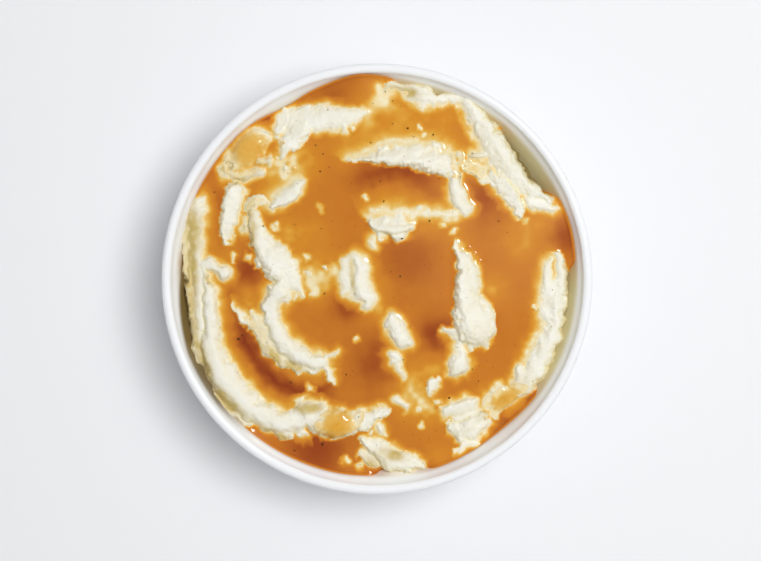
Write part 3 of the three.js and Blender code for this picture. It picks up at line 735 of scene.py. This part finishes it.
def mash_over_gravy(x0, y0, torn=1.0):
    """Height of the mash and its roughness. torn is 1 for ragged edges and 0 for smooth ones."""
    x = x0 + WANDER * np.sin(0.55 * x0 + 0.83 * y0 + 0.4) * np.sin(0.71 * x0 - 0.38 * y0 + 2)
    y = y0 + WANDER * np.sin(0.61 * y0 - 0.75 * x0 + 1.1) * np.sin(0.35 * x0 + 0.67 * y0 + 0.3)
    rag_x, rag_y = 0 * x, 0 * y
    if torn:
        for seed, (size, push) in enumerate(RAGS):
            rag_x = rag_x + torn * push * flat_noise(x0, y0, size, 2 * seed + 1)
            rag_y = rag_y + torn * push * flat_noise(x0, y0, size, 2 * seed + 2)
    dry = dryness(x + 1.6 * rag_x, y + 1.6 * rag_y)
    h = -TROUGH - CREVICE * dry
    rough = np.full(x.shape, 0.3)
    uneven = 1 + 0.35 * flat_noise(x0, y0, 3.4, 7) + 0.2 * flat_noise(x0, y0, 1.8, 8)
    for places, edge in ((hollows, 1), (shoals, uneven)):
        for hx, hy, radius, depth in places:
            h = h - depth * edge * np.exp(-1.2 * ((x - hx) ** 2 + (y - hy) ** 2) / radius ** 2)
    h = -soft_max(-h, SHALLOWEST + 0 * h, 0.8)
    for one in ridges:
        ragged = 0.55 + 0.45 * min(max(one["left"], one["right"]) / TORN, 1)
        reach = min(max(DEEPEST / min(one["left"], one["right"]), 6), 20)
        low, high = one["line"][:, :2].min(0) - reach, one["line"][:, :2].max(0) + reach
        near = np.flatnonzero((x > low[0]) & (x < high[0]) & (y > low[1]) & (y < high[1]))
        height, tear = ridge_height(one, x[near] + ragged * rag_x[near], y[near] + ragged * rag_y[near],
                                    dry[near], torn * ragged)
        wins = np.clip(0.5 + 0.5 * (height - h[near]) / BLEND, 0, 1)
        rough[near] = rough[near] * (1 - wins) + tear * wins
        h[near] = soft_max(h[near], height)
    for cx, cy, radius, top in crumbs:
        near = np.flatnonzero((np.abs(x - cx) < radius + 4) & (np.abs(y - cy) < radius + 4))
        d = np.hypot(x[near] + rag_x[near] - cx, y[near] + rag_y[near] - cy)
        wins = np.clip(1.6 - d / radius, 0, 1)
        rough[near] = np.maximum(rough[near], 0.8 * wins)
        h[near] = soft_max(h[near], top - 0.9 * radius * (d / radius) ** 2.4, 0.5)
    return h, rough


row = np.linspace(-60, 60, 241)
print(f"across the middle the mash stands up to {mash_over_gravy(row, 0 * row)[0].max():.1f} mm over gravy")

# %% Lumps, films and stains
PUFFS = ((4.4, 0.4), (2.1, 0.5), (1.1, 0.5), (0.6, 0.25))      # size and depth, mm
PUFF_MEAN = 0.27                                               # the noise is this far from 0, on average


def lumps(x, y, z, rough, over):
    """Fine lumps, mm: puffs with a sharp crease between them, for rough places only."""
    puffs = 0.0
    for seed, (size, depth) in enumerate(PUFFS):
        puffs = puffs + depth * (np.abs(lattice_noise(x, y, z, size, 20 + seed)) - PUFF_MEAN)
    return puffs * rough * ease(over, -1.2, 0.2)


def in_oval(x, y, ox, oy, long, wide, turn):
    """How far out a place is in an oval, squared: 0 in its middle and 1 at its edge."""
    c, s = math.cos(math.radians(turn)), math.sin(math.radians(turn))
    u, v = ((x - ox) * c + (y - oy) * s) / long, ((y - oy) * c - (x - ox) * s) / wide
    return u * u + v * v


def film_over_mash(x, y):
    """Thickness of the films, and below nought where there is none."""
    thickness = np.full(x.shape, -9.0)
    uneven = 1 + 0.5 * flat_noise(x, y, 4, 31) + 0.35 * flat_noise(x, y, 1.7, 32)
    for *oval, thick in films:
        swell = np.exp(-1.2 * (in_oval(x, y, *oval) * uneven) ** 1.4)
        thickness = np.maximum(thickness, thick * (1.15 * swell - 0.15))
    return thickness


def stain_and_shade_on_mash(x, y):
    """0 where the mash is clean, up to 1 in the middle of a stained or painted-shade patch, with a ragged
    edge.
    """
    stain_and_shade = np.zeros(x.shape)
    for oval in stains_and_shade:
        stain_and_shade = np.maximum(stain_and_shade, np.exp(-in_oval(x, y, *oval) ** 1.5))
    cloud = 0.9 + 0.35 * flat_noise(x, y, 3, 33) + 0.3 * flat_noise(x, y, 1.4, 34)
    return np.clip(stain_and_shade * cloud, 0, 1)


print(f"films are up to {film_over_mash(*np.array(films)[:, :2].T).max():.1f} mm thick")

# %% [markdown]
# ## The mash
# The heap is a fine grid, rounded into a disc and lifted to the height of the mash. The finest
# lumps are pushed out along the surface's normal afterwards, so that steep sides get them too. What
# lies flat under the gravy needs few triangles, so Decimate thins the grid out there. Then the edge
# is extruded down the wall and closed underneath, which makes one closed body.

# %% A disc of grid points
EDGE_R = 63.5     # about where the food meets the wall
LOWEST = 41.5     # the food's edge is never taken lower than this, even where the wall is dry


def disc(name, cells):
    """A grid of cells x cells squares, rounded to a disc of radius 1, as a new piece."""
    bpy.ops.object.select_all(action="DESELECT")
    bpy.ops.mesh.primitive_grid_add(x_subdivisions=cells, y_subdivisions=cells, size=2, location=(0, 0, 0))
    piece = bpy.context.object
    piece.name = name
    co = points_of(piece)
    x, y = co[:, 0].copy(), co[:, 1].copy()
    co[:, 0], co[:, 1] = x * np.sqrt(1 - y * y / 2), y * np.sqrt(1 - x * x / 2)
    place_points(piece, co)
    print(name, "starts with", len(co), "points")
    return piece


def spread_to_wall(co, height):
    """Scales the unit disc so that its edge lies on the wall, at the food's height there."""
    angle = np.arctan2(co[:, 1], co[:, 0])
    ring = np.linspace(-math.pi, math.pi, 721)
    edge = height(EDGE_R * np.cos(ring), EDGE_R * np.sin(ring))
    edge = cavity_radius(np.maximum(edge, LOWEST)) + 0.1
    radius = np.interp(angle, ring, edge)
    return co[:, 0] * radius, co[:, 1] * radius


def blurred(values, cells):
    """The values of a grid's points, smoothed over about this many cells."""
    count = round(math.sqrt(len(values)))
    v = values.reshape(count, count)
    for _ in range(int(4 * cells ** 2)):
        v = np.pad(v, 1, mode="edge")
        v = (v[:-2, 1:-1] + v[2:, 1:-1] + v[1:-1, :-2] + v[1:-1, 2:] + 4 * v[1:-1, 1:-1]) / 8
    return v.ravel()

# %% Lift the mash
FOOD_W = 130.0      # width of the food, mm, near enough to tell the size of a cell
MASH_CELLS = 500
mash = disc("mashed_potato", MASH_CELLS)
unit = points_of(mash)
x, y = spread_to_wall(unit, lambda a, b: gravy_level(a, b) + mash_over_gravy(a, b, 0)[0])
over, rough = mash_over_gravy(x, y)
z = np.maximum(gravy_level(x, y) + over, wall_height(np.hypot(x, y)) - 0.2)
place_points(mash, np.column_stack([x, y, z]) * MM)
print(f"highest ridge {z.max():.1f} mm, over the gravy {over.max():.1f} mm")

# %% Lumps along the normal
inner = ease(np.hypot(unit[:, 0], unit[:, 1]), 1.0, 0.985)      # nothing is pushed out at the edge
push = lumps(x, y, z, rough, over) * inner
place_points(mash, points_of(mash) + normals_of(mash) * push[:, None] * MM)
print(f"lumps stand out by up to {push.max():.2f} mm")

# %% Store what the finish needs to know
HOLLOW_MM, CREASE_MM = 1.1, 0.45      # how wide the hollows and creases are that gather shade
z_now = points_of(mash)[:, 2] / MM
cell = FOOD_W / MASH_CELLS
shades = {"hollow": blurred(z_now, HOLLOW_MM / cell) - z_now,
          "crease": blurred(z_now, CREASE_MM / cell) - z_now,
          "steep": blurred(1 - normals_of(mash)[:, 2], 0.75), "stain_and_shade": stain_and_shade_on_mash(x, y)}
for name, values in shades.items():
    store(mash, name, values)
    print(f"{name} goes up to {values.max():.2f}")

# %% Thin it out
MASH_FACES = 190000
if triangles(mash) > MASH_FACES:
    only(mash)
    thin = mash.modifiers.new("thin", "DECIMATE")
    thin.ratio = MASH_FACES / triangles(mash)
    bpy.ops.object.modifier_apply(modifier="thin")
print("mash top triangles:", triangles(mash))

# %% Close the heap down the wall
WALL_LEVELS = 6
only(mash)
bpy.ops.object.mode_set(mode="EDIT")
bpy.ops.mesh.select_mode(type="EDGE")
bpy.ops.mesh.select_all(action="DESELECT")
bpy.ops.mesh.select_non_manifold(extend=False)      # this selects the open edge
top_count = len(mash.data.vertices)
for _ in range(WALL_LEVELS):
    bpy.ops.mesh.extrude_region_move(TRANSFORM_OT_translate={"value": (0, 0, -MM)})
bpy.ops.mesh.edge_face_add()
bpy.ops.object.mode_set(mode="OBJECT")
co = points_of(mash) / MM
ring = (len(co) - top_count) // WALL_LEVELS
print("points in each ring down the wall:", ring)

# %% Pull the rings down along the wall
base = FLOOR_Z - 0.05
edge = co[top_count:top_count + ring].copy()
angle, edge_z = np.arctan2(edge[:, 1], edge[:, 0]), edge[:, 2] + 1
for level in range(WALL_LEVELS):
    part = slice(top_count + level * ring, top_count + (level + 1) * ring)
    level_z = base + (edge_z - base) * (1 - (level + 1) / WALL_LEVELS)
    r = cavity_radius(level_z) + 0.1
    co[part] = np.column_stack([r * np.cos(angle), r * np.sin(angle), level_z])
place_points(mash, co * MM)
bpy.ops.object.mode_set(mode="EDIT")
turn_outwards()
bpy.ops.object.shade_smooth()
print("mash triangles:", triangles(mash))

# %% [markdown]
# The potato is off-white, and real mash lets a little light through, so its hollows and creases look
# yellow rather than grey and its steep edges glow. Subsurface scattering would do that, but it blurs
# the small lumps away, so the stored hollow, crease and steepness paint it instead: painted shade,
# yellow, in hollows and creases, a warm painted light on steep sides, and a faint warm painted glow
# from steep sides. Beside a pool the mash is stained by gravy, some stains also carry painted shade,
# and deep down by the wall the mash has painted shade.

# %% Potato colour
co = points_of(mash) / MM
store(mash, "over_gravy", co[:, 2] - gravy_level(co[:, 0], co[:, 1]))

potato = Finish("mashed_potato")
over_gravy, steep = potato.stored("over_gravy"), potato.stored("steep")
soaked = potato.fade(over_gravy + potato.noise(1.6) * 0.6, 1.3, 0.2)
# painted shade: mash deep under the gravy's level, down by the wall, is painted dark
crevice_shade = potato.fade(over_gravy + potato.noise(2.5) * 0.8, -0.4, -3.5)
cream = potato.ramp(potato.noise(7, detail=3), (0.3, srgb(242, 238, 220)), (0.7, srgb(248, 246, 235)))
# painted shade: hollows and creases are painted darker and yellower, steep sides get a warm painted light,
# stains are partly gravy and partly painted shade, and the mash beside the pools is soaked with gravy
tints = [(potato.fade(potato.stored("hollow"), 0.0, 1.1), srgb(228, 216, 156)),
         (potato.fade(potato.stored("crease"), 0.03, 0.3, 0.0, 0.4), srgb(220, 202, 132)),
         (steep, srgb(243, 232, 182)),
         (potato.stored("stain_and_shade"), srgb(206, 182, 112)),
         (soaked * 0.7, srgb(240, 224, 176)),
         (crevice_shade, srgb(146, 126, 76))]
for mask, tint in tints:
    cream = potato.mix(mask, cream, tint)
print("tints over the cream:", len(tints))

# %% Potato finish
# painted glow: steep sides give off a faint warm light of their own, standing for light that passes through
# the mash
potato.set(Base_Color=cream, Roughness=0.42 - soaked * 0.12, Specular_IOR_Level=0.2,
           Emission_Color=potato.mix(steep ** 2, BLACK, srgb(74, 64, 40)), Emission_Strength=1.0)
potato.bump(potato.noise(1.2, detail=4, roughness=0.72), 0.38)
dress(mash, potato)
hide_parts("mash")

# %% [markdown]
# ## The gravy
# Gravy is thick: it lies in the furrows with a rounded edge, a little higher where it clings. A
# flat sheet through the heap would give sharp, dry shores, so a disc is lifted to the gravy's level
# and shaped by what it touches. Squares buried in the mash or the wall are removed, and the rest is
# extruded down to give it a body. Nobody sees that underside, so it is thinned out.

# %% Level, films and beads
GRAVY_CELLS = 350
DRY_DROP = 16      # how far the gravy's surface dives at a dry stretch of wall
BEAD_H = 0.45
gravy = disc("gravy", GRAVY_CELLS)
unit = points_of(gravy)
x, y = spread_to_wall(unit, gravy_level)
level = gravy_level(x, y)
over, rough = mash_over_gravy(x, y)
mash_z = level + over + lumps(x, y, level + over, rough, over)
near_cells = 0.7 / (FOOD_W / GRAVY_CELLS)      # 0.7 mm, in cells of the grid
film = film_over_mash(x, y)
top = level - DRY_DROP * dryness(x, y, 1.0) ** 1.6
top = np.maximum(top, np.where(film > 0, blurred(mash_z, near_cells) + film, -99))
for bx, by, radius in beads:
    bead = BEAD_H * (1 - ((x - bx) ** 2 + (y - by) ** 2) / radius ** 2)
    top = np.where((bead > 0) & (top > mash_z - 0.2), top + bead, top)
print("points under a film:", (film > 0).sum())

# %% Where it clings
MENISCUS = 0.3     # how far the gravy creeps up the mash
CLIMB = 0.7        # and up the wall
shore = blurred((mash_z > top).astype(float), near_cells)
top = top + MENISCUS * (2 * shore - 0.6)
top = top + CLIMB * ease(np.hypot(unit[:, 0], unit[:, 1]), 0.975, 1.0)
wall = wall_height(np.hypot(x, y))
top = np.maximum(top, wall - 0.3)
deep = top - mash_z
to_wall = cavity_radius(level) - np.hypot(x, y)
place_points(gravy, np.column_stack([x, y, top]) * MM)
print(f"gravy is {deep.max():.1f} mm deep at most")

# %% Where the wall is wet with gravy
WET_R = 65.4       # radius at which the gravy meets the wall
co = points_of(bowl) / MM
angle = np.arctan2(co[:, 1], co[:, 0])
edge_x, edge_y = WET_R * np.cos(angle), WET_R * np.sin(angle)
store(bowl, "gravy_line", gravy_level(edge_x, edge_y))
store(bowl, "wet", on_inside * (1 - dryness(edge_x, edge_y)))
print("stretches of the wall left dry:", len(dry_walls))

# %% Remove what is buried
BURIED = 0.6       # how far under the mash a square may be left
EDGE_DEPTH, EDGE_GAIN = 2.4, 3.4      # the most depth shown at the wall, and more for each mm from it
hidden = (deep < -BURIED) | (top < wall - 0.25)
buried = hidden[read(gravy.data.polygons, "vertices", 4, np.int32)].all(axis=1)
store(gravy, "depth", np.clip(deep, 0, EDGE_DEPTH + EDGE_GAIN * np.maximum(to_wall, 0)))
store(gravy, "bottom", np.maximum(mash_z - 0.5, wall - 0.8))
only(gravy)
bpy.ops.object.mode_set(mode="EDIT")
bpy.ops.mesh.select_mode(type="FACE")
bpy.ops.object.mode_set(mode="OBJECT")
gravy.data.polygons.foreach_set("select", buried)
bpy.ops.object.mode_set(mode="EDIT")
bpy.ops.mesh.delete(type="FACE")
print("squares removed:", buried.sum())

# %% Give the rest a body
bpy.ops.mesh.select_all(action="SELECT")
bpy.ops.mesh.extrude_region_move(TRANSFORM_OT_translate={"value": (0, 0, -MM)})
bpy.ops.object.mode_set(mode="OBJECT")
co = points_of(gravy)
bottom = read(gravy.data.attributes["bottom"].data, "value", 1, np.float32)[:, 0]
lower = read(gravy.data.vertices, "select", 1, bool)[:, 0]      # the extruded ones are still selected
co[lower, 2] = np.minimum(co[lower, 2], bottom[lower] * MM)
place_points(gravy, co)
for face in gravy.data.polygons:
    face.select = all(lower[i] for i in face.vertices)
bpy.ops.object.mode_set(mode="EDIT")
bpy.ops.mesh.decimate(ratio=0.05)
turn_outwards()
bpy.ops.object.shade_smooth_by_angle(angle=math.radians(60))
print("gravy triangles:", triangles(gravy))

# %% [markdown]
# Deep gravy is brown, shallow gravy is orange and then yellow, because the pale mash shines through
# it. A volume inside the body would show that by itself, but it is slow and noisy, and a model for
# other programs can't keep it. The stored depth and a colour ramp give the same look. The surface
# is glossy and nearly smooth.

# %% Gravy finish
DEPTH_FULL = 8.0     # the depth at the ramp's end, mm
sauce = Finish("brown_gravy")
uneven = sauce.stored("depth") * (0.9 + 0.2 * sauce.noise(6, detail=2))
colour = sauce.ramp(uneven / DEPTH_FULL,
                    (0.0, srgb(241, 228, 190)), (0.03, srgb(236, 210, 148)), (0.07, srgb(228, 184, 95)),
                    (0.14, srgb(222, 161, 56)), (0.24, srgb(212, 138, 38)), (0.42, srgb(200, 120, 35)),
                    (0.62, srgb(164, 80, 24)), (0.85, srgb(130, 46, 16)))
sauce.set(Base_Color=colour, Roughness=0.1, Specular_IOR_Level=0.3)
sauce.bump(sauce.noise(2.6, detail=2), 0.04)
dress(gravy, sauce)
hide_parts("gravy", "gravy_front")

# %% [markdown]
# ## Pepper
# Ground pepper is flakes of husk, no two alike. Hundreds of objects would be slow to handle, so one
# rough ball is copied by numbers into a single mesh, stretched, turned and set half into whatever
# is on top there. The larger flakes have places of their own, and the dust is scattered.

# %% Pepper flakes, mm: x, y, radius
flakes = [
    (-5, 66, 0.5), (-16, 55, 0.28), (-20, 43.5, 0.3), (-17.5, 40.7, 0.25), (-18.5, 35, 0.3),
    (-15.5, 36.3, 0.22), (5, 58, 0.25), (10, 49, 0.4), (18.3, 47, 0.35), (12, 46.3, 0.22), (-2, 44.3, 0.25),
    (5, 50.5, 0.22), (2.7, 61, 0.25), (39.5, 18.8, 0.35), (42.3, 15.2, 0.22), (17, 18.8, 0.42),
    (8.1, 13.1, 0.4), (7.5, 0.8, 0.35), (4.5, 2.3, 0.22), (-17, -4.7, 0.3), (-45, -19.5, 0.6),
    (-43.8, -18.3, 0.35), (-28, -33.6, 0.35), (-17.8, -53.9, 0.5), (-27, -56, 0.35), (-10, -31, 0.25),
    (-9, -44, 0.22), (-6, -44.8, 0.25), (23.5, -38.7, 0.4), (42.5, -36.3, 0.25), (37, -40, 0.25),
    (31, -29.3, 0.22), (33, -33.3, 0.22), (8.5, -26.2, 0.3), (-37, 17, 0.42), (-53, 28.3, 0.3),
    (57, -3.5, 0.22), (53.5, -13.5, 0.22), (27, 33.2, 0.25), (31, 40.8, 0.25), (1, 31.7, 0.25),
    (2.2, 25.2, 0.35), (-42.5, 39.8, 0.22), (-40, 44, 0.22), (20, 32.7, 0.22)]
DUST, DUST_R = 240, (0.07, 0.17)      # how many grains of dust, and their radii
DUST_FIELD = 61                       # how far out they lie
chance = np.random.default_rng(11)
spread, turn = DUST_FIELD * np.sqrt(chance.uniform(0, 1, DUST)), chance.uniform(0, 2 * math.pi, DUST)
dust = np.column_stack([spread * np.cos(turn), spread * np.sin(turn), chance.uniform(*DUST_R, DUST)])
flakes = np.vstack([flakes, dust])
print("flakes of pepper:", len(flakes))

# %% Copy the flakes
FLAT = (1.15, 0.8, 0.45)              # a flake is longer than wide, and thin
bpy.ops.mesh.primitive_ico_sphere_add(subdivisions=1, radius=1, location=(0, 0, 0))
pepper = bpy.context.object
pepper.name = "pepper"
ball = points_of(pepper)
sides = np.array([list(p.vertices) for p in pepper.data.polygons])
fx, fy, radius = flakes.T
rest = gravy_level(fx, fy) + np.maximum(mash_over_gravy(fx, fy)[0], 0)
all_points, all_sides = [], []
for index, (px, py, r, pz) in enumerate(zip(fx, fy, radius, rest)):
    a = chance.uniform(0, math.pi)
    c, s = math.cos(a), math.sin(a)
    shape = ball * chance.uniform(0.75, 1.25, ball.shape) * FLAT * r
    all_points.append(np.column_stack([shape[:, 0] * c - shape[:, 1] * s + px,
                                       shape[:, 0] * s + shape[:, 1] * c + py, shape[:, 2] + pz]))
    all_sides.append(sides + index * len(ball))
flake_mesh = bpy.data.meshes.new("pepper")
flake_mesh.from_pydata((np.vstack(all_points) * MM).tolist(), [], np.vstack(all_sides).tolist())
pepper.data = flake_mesh
print("pepper triangles:", triangles(pepper))

# %% Husk
husk = Finish("pepper_husk")
brown = husk.ramp(husk.noise(3), (0.35, srgb(48, 24, 12)), (0.65, srgb(104, 58, 28)))
husk.set(Base_Color=brown, Roughness=0.8, Specular_IOR_Level=0.05)
dress(pepper, husk)

# %% [markdown]
# ## Floor, light and camera
# The dish stands on a plain pale floor under large soft lamps from the back right, and white
# surroundings fill the shade. A lamp of that size would show as a white patch in the gravy, so the
# two large ones aren't reflected. A small one lights nothing and is only there to be reflected: it
# puts the glints on the beads. The camera looks straight down.

# %% Floor
bpy.ops.object.select_all(action="DESELECT")
bpy.ops.mesh.primitive_plane_add(size=4, location=(0, 0, -0.0002))
floor = bpy.context.object
floor.name = "floor"
pale = Finish("pale_floor")
pale.set(Base_Color=srgb(243, 244, 246), Roughness=0.7, Specular_IOR_Level=0.2)
floor.data.materials.append(pale.material)
print("floor is", floor.dimensions.x, "m wide")

# %% Light
def lamp(name, azimuth, elevation, distance, size, watts):
    a, e = math.radians(azimuth), math.radians(elevation)
    along = distance * math.cos(e)
    place = (along * math.cos(a), along * math.sin(a), distance * math.sin(e))
    bpy.ops.object.light_add(type="AREA", location=place)
    light = bpy.context.object
    light.name = name
    light.data.shape, light.data.size, light.data.energy = "DISK", size, watts
    light.rotation_euler = (-Vector(place)).to_track_quat("-Z", "Y").to_euler()
    return light


lamp("window", 20, 75, 1.2, 0.5, 8.3).visible_glossy = False
lamp("side", 30, 66, 1.3, 0.5, 1.3).visible_glossy = False
lamp("spark", 40, 56, 0.9, 0.15, 5).visible_diffuse = False
world = bpy.data.worlds.new("white_room")
world.use_nodes = True
backdrop = world.node_tree.nodes["Background"].inputs
backdrop["Color"].default_value = (1, 1, 1, 1)
backdrop["Strength"].default_value = 0.36
bpy.context.scene.world = world
bpy.context.scene.view_settings.view_transform = "Standard"

# %% Camera
FRAME_W, FRAME_H = 761, 561              # width and height of the frame, in its pixels
RIM_PX, CENTRE_PX = 431, (377, 279)      # the rim's diameter and its centre in the frame
MM_PER_PX = 2 * RIM_R / RIM_PX
LENS, SENSOR = 85.0, 36.0
distance = LENS / SENSOR * FRAME_W * MM_PER_PX
bpy.ops.object.camera_add(location=((FRAME_W / 2 - CENTRE_PX[0]) * MM_PER_PX * MM,
                                    (CENTRE_PX[1] - FRAME_H / 2) * MM_PER_PX * MM,
                                    (LIP_Z + distance) * MM), rotation=(0, 0, 0))
camera = bpy.context.object
camera.data.lens, camera.data.sensor_width = LENS, SENSOR
camera.data.clip_start = 0.01
bpy.context.scene.camera = camera
print(f"camera {distance:.0f} mm over the rim")
